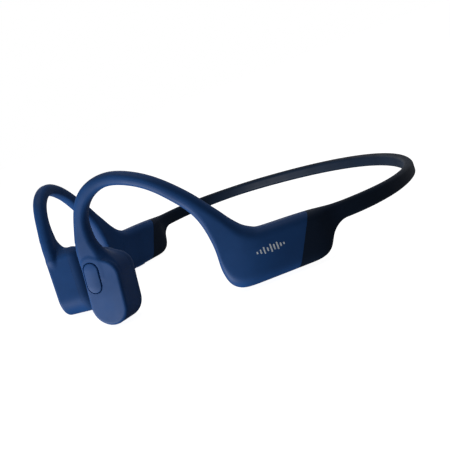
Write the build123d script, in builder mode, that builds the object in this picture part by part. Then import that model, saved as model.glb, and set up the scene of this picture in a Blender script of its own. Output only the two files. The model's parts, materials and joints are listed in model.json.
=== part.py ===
from build123d import *
import os
from math import cos, radians, sin

# Open-ear bone conduction headphones, worn with the band behind the head.
# Millimetres. +Z is up, the wearer faces -Y and the wearer's left is +X.
# The origin is under the middle of the object, on the surface it stands on.

# ---------------------------------------------------------------- driving dimensions
BAND_Z = 11.8  # centre plane of the neckband over the standing surface
BACK_Y = 57.82  # centreline of the band at the back of the neck
BAND_HEIGHT = 4.2
BAND_THICKNESS = 3.0
BAND_ROUND = 1.2

# Plan of one arm, from the back centre forwards: (radius, sweep in degrees).
BAND_ARCS = [(90.4, 33.2), (40.6, 30.1), (26.7, 48.3)]
POD_STRAIGHT = 23.8
HOOK_ARCS = [(52.4, 25.7), (194.7, 3.5)]
HOOK_STRAIGHT = 28.0
BAND_END = sum(radius * radians(sweep) for radius, sweep in BAND_ARCS)

WALL = 1.2
CORE_WIDTH = 1.2  # channel in band and hook for the wire and the cable
CORE_HEIGHT = 2.9
CORE_PITCH = 0.75  # wire above and cable below the channel's middle
WIRE_RADIUS = 0.5
CORE_REACH, WIRE_REACH = 9.0, 10.0  # how far channel and wires run on past the band's end

# The arm seen from outside and unrolled: u runs forwards along the plan, z is over the band plane.
# Each station is (top u, top z, bottom u, bottom z, thickness, corner radius).
STATIONS = [
    (BAND_END, 2.1, BAND_END, -2.1, 3.0, 1.2),
    (98.4, 2.3, 98.3, -3.2, 3.4, 1.4),
    (100.8, 2.6, 100.4, -5.6, 4.6, 1.8),
    (103.0, 2.9, 101.8, -8.0, 6.0, 2.2),
    (105.4, 3.1, 103.5, -10.1, 7.2, 2.6),
    (107.8, 3.3, 106.4, -11.2, 7.9, 2.9),
    (111.0, 3.5, 111.0, -11.3, 8.2, 3.0),
    (116.0, 3.75, 117.0, -11.3, 8.3, 3.0),
    (119.6, 3.95, 123.0, -11.3, 8.2, 3.0),
    (121.8, 4.5, 127.4, -11.2, 8.0, 2.9),
    (123.4, 5.4, 130.6, -10.7, 7.6, 2.8),
    (124.8, 6.5, 132.8, -9.0, 7.0, 2.7),
    (126.0, 7.8, 133.8, -6.4, 6.4, 2.6),
    (127.2, 9.3, 134.1, -3.2, 5.9, 2.5),
    (128.4, 11.0, 133.9, 1.2, 5.5, 2.4),
    (129.8, 12.9, 134.2, 5.8, 5.2, 2.3),
    (131.6, 15.2, 135.3, 10.7, 4.9, 2.2),
    (134.0, 18.3, 137.4, 15.0, 4.7, 2.1),
    (137.2, 21.7, 140.3, 18.5, 4.5, 2.1),
    (141.5, 25.5, 144.3, 22.5, 4.4, 2.0),
    (147.2, 29.2, 149.3, 25.9, 4.4, 2.0),
    (153.6, 31.8, 154.7, 28.0, 4.3, 1.9),
    (159.3, 32.5, 159.0, 28.5, 4.3, 1.9),
    (164.5, 31.4, 162.9, 27.5, 4.3, 1.9),
    (168.6, 28.9, 165.9, 25.5, 4.3, 1.9),
    (171.2, 25.6, 167.9, 22.9, 4.3, 1.9),
    (172.6, 22.2, 168.9, 20.3, 4.3, 1.9),
    (173.5, 18.8, 169.1, 17.9, 4.3, 2.0),
    (174.2, 15.7, 169.0, 15.4, 4.4, 2.0),
    (174.8, 12.6, 168.4, 12.8, 4.4, 2.0),
    (175.3, 9.5, 167.6, 10.0, 4.4, 2.0),
]
CAVITY_FIRST, CAVITY_LAST = 4, 11  # stations between which the pod is hollow
HOOK_FIRST = 13  # station where the pod case ends and the ear hook begins
NECK_FIRST = 28  # station where the ear hook ends on the transducer's neck
COLOUR_LINE = (106.3, 3.2, 113.5, -11.0)  # slanted joint between the dark boot and the pod case
COVER_U, COVER_DEPTH = 118.0, 2.9  # the inner cover starts this far inside the pod's middle plane

# Transducer: outline in its own leaning plane, thickness towards the cheekbone.
LEAN = 8.8
FACE_U, FACE_Z = 171.0, 0.0
FACE_OUT = 2.3  # outer face over the hook's middle surface
CASE_DEPTH = 8.1
PAD_DEPTH = 4.8
FACE_HALF_WIDTH = 6.15
FACE_BOTTOM = -11.6
FACE_TOP_REAR, FACE_TOP_FRONT = 7.9, 12.3
FACE_CORNER = 5.0
FACE_NOSE = 3.4
FACE_EDGE = 0.9
PAD_EDGE = 3.0
CASE_WALL, PAD_WALL, PAD_FLOOR = 1.2, 1.6, 1.5
SEAL_WIDTH, SEAL_HEIGHT, SEAL_FIT, SEAL_LAP = 0.35, 1.4, 0.05, 0.6
MOTOR_Y = -3.4  # centre of the round motor in the transducer's plane
YOKE_RADIUS, YOKE_WALL, YOKE_FLOOR = 4.1, 0.65, 0.8
YOKE_BACK, YOKE_RIM = -2.2, -6.8
MAGNET_RADIUS, MAGNET_HEIGHT, POLE_HEIGHT = 2.6, 2.6, 1.0
COIL_INNER, COIL_OUTER, COIL_HEIGHT = 2.85, 3.25, 3.7
CARRIER_THICKNESS, CARRIER_RIM, CARRIER_HOLE = 0.8, 0.75, 1.0
SPRING_RADIUS, SPRING_OUT, SPRING_THICKNESS = 4.85, -1.6, 0.2
SPRING_RIM, SPRING_HUB, SPRING_ARM = 0.8, 1.6, 0.7

# Multifunction button.
BUTTON_LENGTH, BUTTON_WIDTH = 9.4, 4.9
BUTTON_X, BUTTON_Y = -2.8, 4.0
BUTTON_PROUD = 0.5
BUTTON_GAP = 0.15
BUTTON_SKIN = 1.4  # thickness of the transducer's outer wall
BUTTON_UNDER = 0.05  # clearance between that wall and the flange
FLANGE_THICKNESS = 0.4
FLANGE_LONGER, FLANGE_NARROWER = 0.7, 1.5
BUTTON_EDGE = 0.4
DOME_RADIUS, DOME_OUT, DOME_HEIGHT, DOME_EDGE = 1.8, -0.5, 0.5, 0.2
BUTTON_BOARD_THICKNESS = 0.6

# Volume buttons and charging port under the control pod.
VOLUME_U = {"volume_down_button": 118.4, "volume_up_button": 124.2}
VOLUME_LENGTH, VOLUME_WIDTH = 5.4, 3.2
VOLUME_PROUD, VOLUME_EDGE = 0.5, 0.3
VOLUME_FLANGE_Z = -9.78  # underside of the flange, above the rounded floor of the cavity
VOLUME_FLANGE = (3.6, 4.0)
PLUNGER_RADIUS, PLUNGER_OVERLAP = 0.8, 0.05
SWITCH_Z, SWITCH_HEIGHT = -8.7, 1.2
POD_BOTTOM = -11.3
FLOOR_CUT = 2.7  # cutters for the pod's floor start 1 mm below it
PORT_U = 109.6
PORT_LENGTH, PORT_WIDTH, PORT_RECESS, PORT_HEIGHT = 5.4, 3.2, 0.5, 1.4
CONTACT_PITCH, CONTACT_RADIUS, CONTACT_LENGTH, CONTACT_PROUD = 2.2, 0.6, 1.9, 0.15
LED_U, LED_RADIUS, LED_RECESS, LED_LENGTH = 114.4, 0.6, 0.1, 2.2
MIC_U, MIC_Z, MIC_RADIUS, MIC_HOLE = 118.0, -6.8, 1.6, 0.45
MIC_OUT, MIC_HEIGHT = 1.8, 1.1

# Inside the pods.
BATTERY_U, BATTERY_Z, BATTERY_SIZE, BATTERY_ROUND = 115.9, -4.5, (16.8, 10.2, 4.6), 0.8
PROTECTION_U, PROTECTION_Z, PROTECTION_SIZE = 125.2, -5.0, (0.8, 8.0, 4.0)
BOARD_U, BOARD_Z, BOARD_SIZE, BOARD_ROUND = 118.2, -3.2, (16.0, 8.6, 0.8), 0.6

# ---------------------------------------------------------------- plan curve and local frames
with BuildLine() as band_line:
    start, heading = Vector(0, BACK_Y), Vector(1, 0)
    for radius, sweep_angle in BAND_ARCS:
        arc = JernArc(start, heading, radius, -sweep_angle)
        start, heading = arc @ 1, arc % 1

with BuildLine() as arm_line:
    add(band_line.line)
    pod_line = Line(start, start + heading * POD_STRAIGHT)
    start = pod_line @ 1
    for radius, sweep_angle in HOOK_ARCS:
        arc = JernArc(start, heading, radius, -sweep_angle)
        start, heading = arc @ 1, arc % 1
    Line(start, start + heading * HOOK_STRAIGHT)

arm_wire = arm_line.wire()


def forward(u):
    return arm_wire.tangent_at(u, position_mode=PositionMode.LENGTH)


def outward(u):
    direction = forward(u)
    return Vector(-direction.Y, direction.X, 0)


def on_arm(u, z, out=0.0):
    """Point at arc length u and height z over the band plane, moved outwards by out."""
    point = arm_wire.position_at(u, position_mode=PositionMode.LENGTH)
    return Vector(point.X, point.Y, BAND_Z + z) + outward(u) * out


def station_plane(top_u, top_z, bottom_u, bottom_z):
    """Plane across the arm: x outwards, y from bottom to top, z forwards along the arm."""
    top, bottom = on_arm(top_u, top_z), on_arm(bottom_u, bottom_z)
    side = outward((top_u + bottom_u) / 2)
    return Plane(origin=(top + bottom) / 2, x_dir=side, z_dir=side.cross(top - bottom))


def station_height(top_u, top_z, bottom_u, bottom_z):
    return (on_arm(top_u, top_z) - on_arm(bottom_u, bottom_z)).length


def arm_loft(stations, inset=0.0):
    """Solid through the rounded sections of the stations."""
    with BuildPart() as body:
        for *line, thickness, corner in stations:
            with BuildSketch(station_plane(*line)):
                width, height = thickness - 2 * inset, station_height(*line) - 2 * inset
                RectangleRounded(width, height, min(corner - inset, height / 2.2, width / 2.2))
        loft()
    return body.part


def slim_loft(stations, section, shift=0.0):
    """Slim solid of one section along the middle of the stations, shifted up or down in each."""
    with BuildPart() as body:
        for *line, _, _ in stations:
            plane = station_plane(*line)
            with BuildSketch(Plane(plane.origin + plane.y_dir * shift, plane.x_dir, plane.z_dir)):
                add(section)
        loft()
    return body.part


def band_sweep(section, z, extra=0.0):
    """Sweep a section along the band from the back centre, extra millimetres past its end."""
    with BuildPart() as body:
        with BuildLine(Plane.XY.offset(BAND_Z + z)) as path:
            add(band_line.line)
            if extra:
                Line(path.line @ 1, path.line @ 1 + path.line % 1 * extra)
        with BuildSketch(Plane(origin=(0, BACK_Y, BAND_Z + z), x_dir=(0, 1, 0), z_dir=(1, 0, 0))):
            add(section)
        sweep(path=path.wire())
    return body.part


def pod_plane(u, z, out=0.0):
    """Plane on the straight pod: x rearwards, y up, z outwards."""
    return Plane(origin=on_arm(u, z, out), x_dir=-forward(u), z_dir=outward(u))


def pod_floor_plane(u, z):
    """Plane across the pod's bottom: x rearwards, z straight up."""
    return Plane(origin=on_arm(u, z), x_dir=-forward(u), z_dir=(0, 0, 1))


def face_plane(out=0.0):
    """Leaning plane of the transducer: x rearwards, y up along the body, z outwards."""
    rear, up = -forward(FACE_U), Vector(0, 0, 1)
    x_dir = rear * cos(radians(LEAN)) - up * sin(radians(LEAN))
    return Plane(origin=on_arm(FACE_U, FACE_Z, out), x_dir=x_dir, z_dir=outward(FACE_U))


def motor_plane(out):
    """Plane square to the round motor's axis, centred on it."""
    plane = face_plane(out)
    return Plane(plane.origin + plane.y_dir * MOTOR_Y, plane.x_dir, plane.z_dir)


def face_outline(inset=0.0):
    """Outline of the transducer: round below, sloping shoulder above."""
    half = FACE_HALF_WIDTH - inset
    with BuildSketch() as outline:
        with BuildLine():
            Polyline(
                (-half, FACE_BOTTOM + inset),
                (half, FACE_BOTTOM + inset),
                (half, FACE_TOP_REAR - inset),
                (-half, FACE_TOP_FRONT - inset),
                close=True,
            )
        make_face()
        corners = outline.vertices().sort_by(Axis.Y)
        fillet(corners[:2], half - 0.05)
        fillet(outline.vertices().sort_by(Axis.Y)[-2:].sort_by(Axis.X)[-1], FACE_CORNER - inset)
        fillet(outline.vertices().sort_by(Axis.Y)[-1], FACE_NOSE - inset)
    return outline.sketch


pieces = {}


def keep(name, part):
    part.label = name
    pieces[name] = part


def keep_pair(name, part):
    """Keep the left piece and its mirror image for the right side."""
    keep(name + "_left", part)
    with BuildPart() as right:
        mirror(part, about=Plane.YZ)
    keep(name + "_right", right.part)


# ---------------------------------------------------------------- neckband
with BuildSketch() as band_section:
    RectangleRounded(BAND_THICKNESS, BAND_HEIGHT, BAND_ROUND)
with BuildSketch() as core_section:
    RectangleRounded(CORE_WIDTH, CORE_HEIGHT, CORE_WIDTH / 2 - 0.05)
with BuildSketch() as wire_section:
    Circle(WIRE_RADIUS)

band_core = band_sweep(core_section.sketch, 0, extra=CORE_REACH)

with BuildPart() as neckband_sleeve:
    add(band_sweep(band_section.sketch, 0))
    add(band_core, mode=Mode.SUBTRACT)
keep_pair("neckband_sleeve", neckband_sleeve.part)

with BuildPart() as neckband_wire:
    add(band_sweep(wire_section.sketch, CORE_PITCH, extra=WIRE_REACH))
keep_pair("neckband_wire", neckband_wire.part)

with BuildPart() as neckband_cable:
    add(band_sweep(wire_section.sketch, -CORE_PITCH, extra=WIRE_REACH))
keep_pair("neckband_cable", neckband_cable.part)

# ---------------------------------------------------------------- arm skin, cavity and channels
arm_skin = arm_loft(STATIONS[: NECK_FIRST + 1])
pod_cavity = arm_loft(STATIONS[CAVITY_FIRST : CAVITY_LAST + 1], inset=WALL)
hook_core = slim_loft(STATIONS[CAVITY_LAST:], core_section.sketch)
boot_cut = station_plane(*COLOUR_LINE)
hook_cut = station_plane(*STATIONS[HOOK_FIRST][:4])
cover_cut = pod_plane(COVER_U, 0, -COVER_DEPTH)

with BuildPart() as rear_boot:
    add(arm_skin)
    split(bisect_by=boot_cut, keep=Keep.BOTTOM)
    add(pod_cavity, mode=Mode.SUBTRACT)
    add(band_core, mode=Mode.SUBTRACT)
boot_blank = rear_boot.part

with BuildPart() as pod_shell:
    add(arm_skin)
    split(bisect_by=boot_cut, keep=Keep.TOP)
    split(bisect_by=hook_cut, keep=Keep.BOTTOM)
    add(pod_cavity, mode=Mode.SUBTRACT)
    add(hook_core, mode=Mode.SUBTRACT)

with BuildPart() as pod_case:
    add(pod_shell.part)
    split(bisect_by=cover_cut, keep=Keep.TOP)
with BuildPart() as pod_cover:
    add(pod_shell.part)
    split(bisect_by=cover_cut, keep=Keep.BOTTOM)

with BuildPart() as ear_hook:
    add(arm_skin)
    split(bisect_by=hook_cut, keep=Keep.TOP)
    add(hook_core, mode=Mode.SUBTRACT)
keep_pair("ear_hook", ear_hook.part)

with BuildPart() as hook_wire:
    add(slim_loft(STATIONS[CAVITY_LAST:-1], wire_section.sketch, CORE_PITCH))
keep_pair("hook_wire", hook_wire.part)

with BuildPart() as hook_leads:
    add(slim_loft(STATIONS[CAVITY_LAST:-1], wire_section.sketch, -CORE_PITCH))
keep_pair("hook_leads", hook_leads.part)


# ---------------------------------------------------------------- left pod: battery
keep("rear_boot_left", boot_blank)
keep("battery_pod_case", pod_case.part)
keep("battery_pod_cover", pod_cover.part)

with BuildPart() as battery_cell:
    with BuildSketch(pod_plane(BATTERY_U, BATTERY_Z, -BATTERY_SIZE[2] / 2)):
        RectangleRounded(BATTERY_SIZE[0], BATTERY_SIZE[1], BATTERY_ROUND)
    extrude(amount=BATTERY_SIZE[2])
    fillet(battery_cell.edges().filter_by(GeomType.LINE, reverse=True), 0.3)
keep("battery_cell", battery_cell.part)

with BuildPart() as protection_board:
    with BuildSketch(pod_plane(PROTECTION_U, PROTECTION_Z, -PROTECTION_SIZE[2] / 2)):
        Rectangle(PROTECTION_SIZE[0], PROTECTION_SIZE[1])
    extrude(amount=PROTECTION_SIZE[2])
keep("protection_board", protection_board.part)

# ---------------------------------------------------------------- right pod: control board and volume buttons
def floor_slot(u, z, height, length, width):
    """Pill-shaped block standing on height z under the pod."""
    with BuildPart() as block:
        with BuildSketch(pod_floor_plane(u, z)):
            SlotOverall(length, width)
        extrude(amount=height)
    return block.part


volume_hole = (VOLUME_LENGTH + 2 * BUTTON_GAP, VOLUME_WIDTH + 2 * BUTTON_GAP)
volume_holes = [floor_slot(u, POD_BOTTOM - 1, FLOOR_CUT, *volume_hole) for u in VOLUME_U.values()]
port_hole = floor_slot(PORT_U, POD_BOTTOM - 1, FLOOR_CUT, PORT_LENGTH, PORT_WIDTH)
port_block = floor_slot(PORT_U, POD_BOTTOM + PORT_RECESS, PORT_HEIGHT, PORT_LENGTH, PORT_WIDTH)

with BuildPart() as control_case:
    add(pod_case.part)
    add(volume_holes, mode=Mode.SUBTRACT)
    with BuildSketch(pod_floor_plane(LED_U, POD_BOTTOM - 1)):
        Circle(LED_RADIUS)
    extrude(amount=FLOOR_CUT, mode=Mode.SUBTRACT)
    with BuildSketch(pod_plane(MIC_U, MIC_Z, 2.0)):
        Circle(MIC_HOLE)
    extrude(amount=3.0, mode=Mode.SUBTRACT)
control_case_left = control_case.part

with BuildPart() as port_boot:
    add(boot_blank)
    add(port_hole, mode=Mode.SUBTRACT)

with BuildPart() as charging_port:
    add(port_block)
    with BuildSketch(pod_floor_plane(PORT_U, POD_BOTTOM)):
        with GridLocations(CONTACT_PITCH, 1, 2, 1):
            Circle(CONTACT_RADIUS)
    extrude(amount=3.0, mode=Mode.SUBTRACT)

with BuildPart() as charge_contacts:
    with BuildSketch(pod_floor_plane(PORT_U, POD_BOTTOM + PORT_RECESS - CONTACT_PROUD)):
        with GridLocations(CONTACT_PITCH, 1, 2, 1):
            Circle(CONTACT_RADIUS)
    extrude(amount=CONTACT_LENGTH)

with BuildPart() as status_led_lens:
    with BuildSketch(pod_floor_plane(LED_U, POD_BOTTOM + LED_RECESS)):
        Circle(LED_RADIUS)
    extrude(amount=LED_LENGTH)

with BuildPart() as main_board:
    with BuildSketch(pod_plane(BOARD_U, BOARD_Z, -BOARD_SIZE[2] / 2)):
        RectangleRounded(BOARD_SIZE[0], BOARD_SIZE[1], BOARD_ROUND)
    extrude(amount=BOARD_SIZE[2])

with BuildPart() as board_chips:
    # Each chip: place on the board, length, height, and how far it stands out (negative: inner side).
    for chip_x, chip_y, length, height, rise in [
        (-2.8, 1.6, 6.4, 4.6, 1.2),
        (4.4, 1.8, 4.0, 4.0, 0.9),
        (2.2, -2.4, 3.0, 2.6, -0.8),
        (-4.2, -1.2, 3.4, 3.4, -0.9),
    ]:
        board_face = BOARD_SIZE[2] / 2 if rise > 0 else -BOARD_SIZE[2] / 2
        with BuildSketch(pod_plane(BOARD_U, BOARD_Z, board_face)):
            with Locations((chip_x, chip_y)):
                Rectangle(length, height)
        extrude(amount=rise)

with BuildPart() as volume_switches:
    for button_u in VOLUME_U.values():
        with BuildSketch(pod_floor_plane(button_u, SWITCH_Z)):
            Rectangle(3.2, 3.0)
        extrude(amount=SWITCH_HEIGHT)

with BuildPart() as microphone:
    with BuildSketch(pod_plane(MIC_U, MIC_Z, MIC_OUT)):
        Circle(MIC_RADIUS)
    extrude(amount=MIC_HEIGHT)

right_only = {
    "rear_boot_right": port_boot.part,
    "control_pod_case": control_case_left,
    "control_pod_cover": pod_cover.part,
    "charging_port": charging_port.part,
    "charge_contacts": charge_contacts.part,
    "status_led_lens": status_led_lens.part,
    "main_board": main_board.part,
    "board_chips": board_chips.part,
    "volume_switches": volume_switches.part,
    "microphone": microphone.part,
}
for button_name, button_u in VOLUME_U.items():
    cap_height = VOLUME_FLANGE_Z - POD_BOTTOM + VOLUME_PROUD
    plunger_z = VOLUME_FLANGE_Z + FLANGE_THICKNESS - PLUNGER_OVERLAP
    button_cap = floor_slot(button_u, POD_BOTTOM - VOLUME_PROUD, cap_height, VOLUME_LENGTH, VOLUME_WIDTH)
    with BuildPart() as volume_button:
        add(button_cap)
        fillet(volume_button.faces().sort_by(Axis.Z)[0].edges(), VOLUME_EDGE)
        with BuildSketch(pod_floor_plane(button_u, VOLUME_FLANGE_Z)):
            Rectangle(*VOLUME_FLANGE)
        extrude(amount=FLANGE_THICKNESS)
        with BuildSketch(pod_floor_plane(button_u, plunger_z)):
            Circle(PLUNGER_RADIUS)
        extrude(amount=FLANGE_THICKNESS)
    right_only[button_name] = volume_button.part

for right_name, left_hand_part in right_only.items():
    with BuildPart() as right_piece:
        mirror(left_hand_part, about=Plane.YZ)
    keep(right_name, right_piece.part)

# ---------------------------------------------------------------- transducers
OUT_AXIS = Axis((0, 0, 0), tuple(outward(FACE_U)))
CASE_INNER = FACE_OUT - CASE_DEPTH
PAD_INNER = CASE_INNER - PAD_DEPTH

neck_blank = arm_loft(STATIONS[NECK_FIRST:])

with BuildPart() as transducer_case:
    with BuildSketch(face_plane(CASE_INNER)):
        add(face_outline())
    extrude(amount=CASE_DEPTH)
    fillet(transducer_case.faces().sort_by(OUT_AXIS)[-1].edges(), FACE_EDGE)
    add(neck_blank)
    with BuildSketch(face_plane(CASE_INNER)):
        add(face_outline(CASE_WALL))
    extrude(amount=CASE_DEPTH - BUTTON_SKIN, mode=Mode.SUBTRACT)
    add(hook_core, mode=Mode.SUBTRACT)

with BuildPart() as button_side_case:
    add(transducer_case.part)
    with BuildSketch(face_plane(FACE_OUT - BUTTON_SKIN - 0.5)):
        with Locations((BUTTON_X, BUTTON_Y)):
            SlotOverall(BUTTON_LENGTH + 2 * BUTTON_GAP, BUTTON_WIDTH + 2 * BUTTON_GAP, rotation=90)
    extrude(amount=BUTTON_SKIN + 1.0, mode=Mode.SUBTRACT)
keep("transducer_case_left", button_side_case.part)

with BuildPart() as plain_case:
    mirror(transducer_case.part, about=Plane.YZ)
keep("transducer_case_right", plain_case.part)

with BuildPart() as contact_pad:
    with BuildSketch(face_plane(PAD_INNER)):
        add(face_outline())
    extrude(amount=PAD_DEPTH)
    fillet(contact_pad.faces().sort_by(OUT_AXIS)[0].edges(), PAD_EDGE)
    with BuildSketch(face_plane(PAD_INNER + PAD_FLOOR)):
        add(face_outline(PAD_WALL))
    extrude(amount=PAD_DEPTH, mode=Mode.SUBTRACT)
keep_pair("contact_pad", contact_pad.part)

with BuildPart() as pad_seal:
    with BuildSketch(face_plane(CASE_INNER - SEAL_LAP)):
        add(face_outline(PAD_WALL + SEAL_FIT))
        add(face_outline(PAD_WALL + SEAL_WIDTH), mode=Mode.SUBTRACT)
    extrude(amount=SEAL_HEIGHT)
keep_pair("pad_seal", pad_seal.part)

with BuildPart() as transducer_yoke:
    with BuildSketch(motor_plane(YOKE_RIM)):
        Circle(YOKE_RADIUS)
    extrude(amount=YOKE_BACK - YOKE_RIM)
    with BuildSketch(motor_plane(YOKE_RIM)):
        Circle(YOKE_RADIUS - YOKE_WALL)
    extrude(amount=YOKE_BACK - YOKE_RIM - YOKE_FLOOR, mode=Mode.SUBTRACT)
keep_pair("transducer_yoke", transducer_yoke.part)

with BuildPart() as transducer_magnet:
    with BuildSketch(motor_plane(YOKE_BACK - YOKE_FLOOR - MAGNET_HEIGHT)):
        Circle(MAGNET_RADIUS)
    extrude(amount=MAGNET_HEIGHT)
keep_pair("transducer_magnet", transducer_magnet.part)

with BuildPart() as pole_plate:
    with BuildSketch(motor_plane(YOKE_BACK - YOKE_FLOOR - MAGNET_HEIGHT - POLE_HEIGHT)):
        Circle(MAGNET_RADIUS + 0.05)
    extrude(amount=POLE_HEIGHT)
keep_pair("pole_plate", pole_plate.part)

with BuildPart() as coil_carrier:
    with BuildSketch(motor_plane(PAD_INNER + PAD_FLOOR)):
        Circle(COIL_OUTER + CARRIER_RIM)
        Circle(CARRIER_HOLE, mode=Mode.SUBTRACT)
    extrude(amount=CARRIER_THICKNESS)
keep_pair("coil_carrier", coil_carrier.part)

with BuildPart() as voice_coil:
    with BuildSketch(motor_plane(PAD_INNER + PAD_FLOOR + CARRIER_THICKNESS)):
        Circle(COIL_OUTER)
        Circle(COIL_INNER, mode=Mode.SUBTRACT)
    extrude(amount=COIL_HEIGHT)
keep_pair("voice_coil", voice_coil.part)

with BuildPart() as suspension_spring:
    with BuildSketch(motor_plane(SPRING_OUT)):
        Circle(SPRING_RADIUS)
        Circle(SPRING_RADIUS - SPRING_RIM, mode=Mode.SUBTRACT)
        Circle(SPRING_HUB)
        with PolarLocations(SPRING_RADIUS / 2, 3):
            Rectangle(SPRING_RADIUS - SPRING_RIM, SPRING_ARM)
    extrude(amount=SPRING_THICKNESS)
keep_pair("suspension_spring", suspension_spring.part)

# ---------------------------------------------------------------- multifunction button
flange_out = FACE_OUT - BUTTON_SKIN - BUTTON_UNDER
with BuildPart() as multifunction_button:
    with BuildSketch(face_plane(flange_out)):
        with Locations((BUTTON_X, BUTTON_Y)):
            SlotOverall(BUTTON_LENGTH, BUTTON_WIDTH, rotation=90)
    extrude(amount=FACE_OUT + BUTTON_PROUD - flange_out)
    fillet(multifunction_button.faces().sort_by(OUT_AXIS)[-1].edges(), BUTTON_EDGE)
    with BuildSketch(face_plane(flange_out - FLANGE_THICKNESS)):
        with Locations((BUTTON_X, BUTTON_Y)):
            SlotOverall(BUTTON_LENGTH + FLANGE_LONGER, BUTTON_WIDTH - FLANGE_NARROWER, rotation=90)
    extrude(amount=FLANGE_THICKNESS)
keep("multifunction_button", multifunction_button.part)

with BuildPart() as dome_switch:
    with BuildSketch(face_plane(DOME_OUT)):
        with Locations((BUTTON_X, BUTTON_Y)):
            Circle(DOME_RADIUS)
    extrude(amount=DOME_HEIGHT)
    fillet(dome_switch.faces().sort_by(OUT_AXIS)[-1].edges(), DOME_EDGE)
keep("dome_switch", dome_switch.part)

with BuildPart() as button_board:
    with BuildSketch(face_plane(DOME_OUT - BUTTON_BOARD_THICKNESS)):
        with Locations((BUTTON_X + 0.8, BUTTON_Y - 0.2)):
            RectangleRounded(5.0, 9.0, 1.0)
    extrude(amount=BUTTON_BOARD_THICKNESS)
keep("button_board", button_board.part)

# ---------------------------------------------------------------- write every piece
os.makedirs("parts", exist_ok=True)
for node, piece in pieces.items():
    export_step(piece, f"parts/{node}.step")

whole = Compound(children=list(pieces.values())).bounding_box()
print(len(pieces), "pieces", whole.min, whole.max)
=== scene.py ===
"""Looks of the open-ear bone conduction headphones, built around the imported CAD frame.

Lengths in the code are millimetres; meshes are written in metres.
"""

import json
import math

import bmesh
import bpy
import numpy as np
from mathutils import Matrix, Vector
from mathutils.bvhtree import BVHTree


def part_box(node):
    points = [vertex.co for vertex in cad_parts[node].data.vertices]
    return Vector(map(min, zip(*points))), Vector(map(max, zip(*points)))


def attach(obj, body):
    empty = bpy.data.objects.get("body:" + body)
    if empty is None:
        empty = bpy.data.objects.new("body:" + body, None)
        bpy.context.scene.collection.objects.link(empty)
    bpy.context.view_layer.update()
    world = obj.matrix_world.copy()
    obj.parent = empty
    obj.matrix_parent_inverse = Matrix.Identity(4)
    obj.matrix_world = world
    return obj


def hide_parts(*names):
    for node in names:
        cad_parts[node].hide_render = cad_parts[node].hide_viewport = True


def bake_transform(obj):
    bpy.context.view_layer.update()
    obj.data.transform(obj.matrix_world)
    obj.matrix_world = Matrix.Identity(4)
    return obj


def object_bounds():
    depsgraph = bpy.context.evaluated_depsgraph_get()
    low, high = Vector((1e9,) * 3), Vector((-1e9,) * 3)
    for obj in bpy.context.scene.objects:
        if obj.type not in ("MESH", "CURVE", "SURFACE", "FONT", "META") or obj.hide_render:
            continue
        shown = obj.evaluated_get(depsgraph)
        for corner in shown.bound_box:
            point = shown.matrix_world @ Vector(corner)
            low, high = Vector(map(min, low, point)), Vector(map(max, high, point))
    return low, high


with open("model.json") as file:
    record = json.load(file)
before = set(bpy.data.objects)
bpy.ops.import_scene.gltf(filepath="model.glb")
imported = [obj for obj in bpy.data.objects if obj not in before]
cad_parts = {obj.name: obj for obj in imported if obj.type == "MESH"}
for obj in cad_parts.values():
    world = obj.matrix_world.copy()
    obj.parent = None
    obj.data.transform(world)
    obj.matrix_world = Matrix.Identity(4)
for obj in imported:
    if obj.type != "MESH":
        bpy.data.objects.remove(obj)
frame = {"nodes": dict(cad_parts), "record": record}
cad_box = [list(corner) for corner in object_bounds()]

MM = 0.001

# ---------------------------------------------------------------- driving dimensions
BAND_THICKNESS, BAND_HEIGHT, BAND_ROUND = 3.0, 4.2, 1.2
BACK_Y = cad_box[1][1] / MM - BAND_THICKNESS / 2
BAND_Z = sum(corner.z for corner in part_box("neckband_sleeve_left")) / 2 / MM

# Plan of one arm from the back centre forwards: (radius, sweep in degrees), or (None, straight length).
RUNS = [(90.4, 33.2), (40.6, 30.1), (26.7, 48.3), (None, 23.8), (52.4, 25.7), (194.7, 3.5), (None, 28.0)]
BAND_END = sum(radius * math.radians(sweep) for radius, sweep in RUNS[:3])
POD_TILT = 0.9  # the pods' undersides fall this much from the outer to the inner side
BAND_GROWTH, BAND_GROWS_FROM, BAND_DROP = 0.19, 62.0, 0.5  # the band is taller at the boots

SLEEVE_WALL, POD_WALL, CASE_WALL, PAD_WALL = 0.85, 1.2, 1.2, 1.6
FACE_WALL, PAD_FLOOR = 1.4, 1.5
WIRE_RADIUS, WIRE_PITCH = 0.5, 0.75
SEAM_DEPTH = 0.11
SEAM_HALF = 0.01  # half the gap between a transducer's case and its pad

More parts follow.
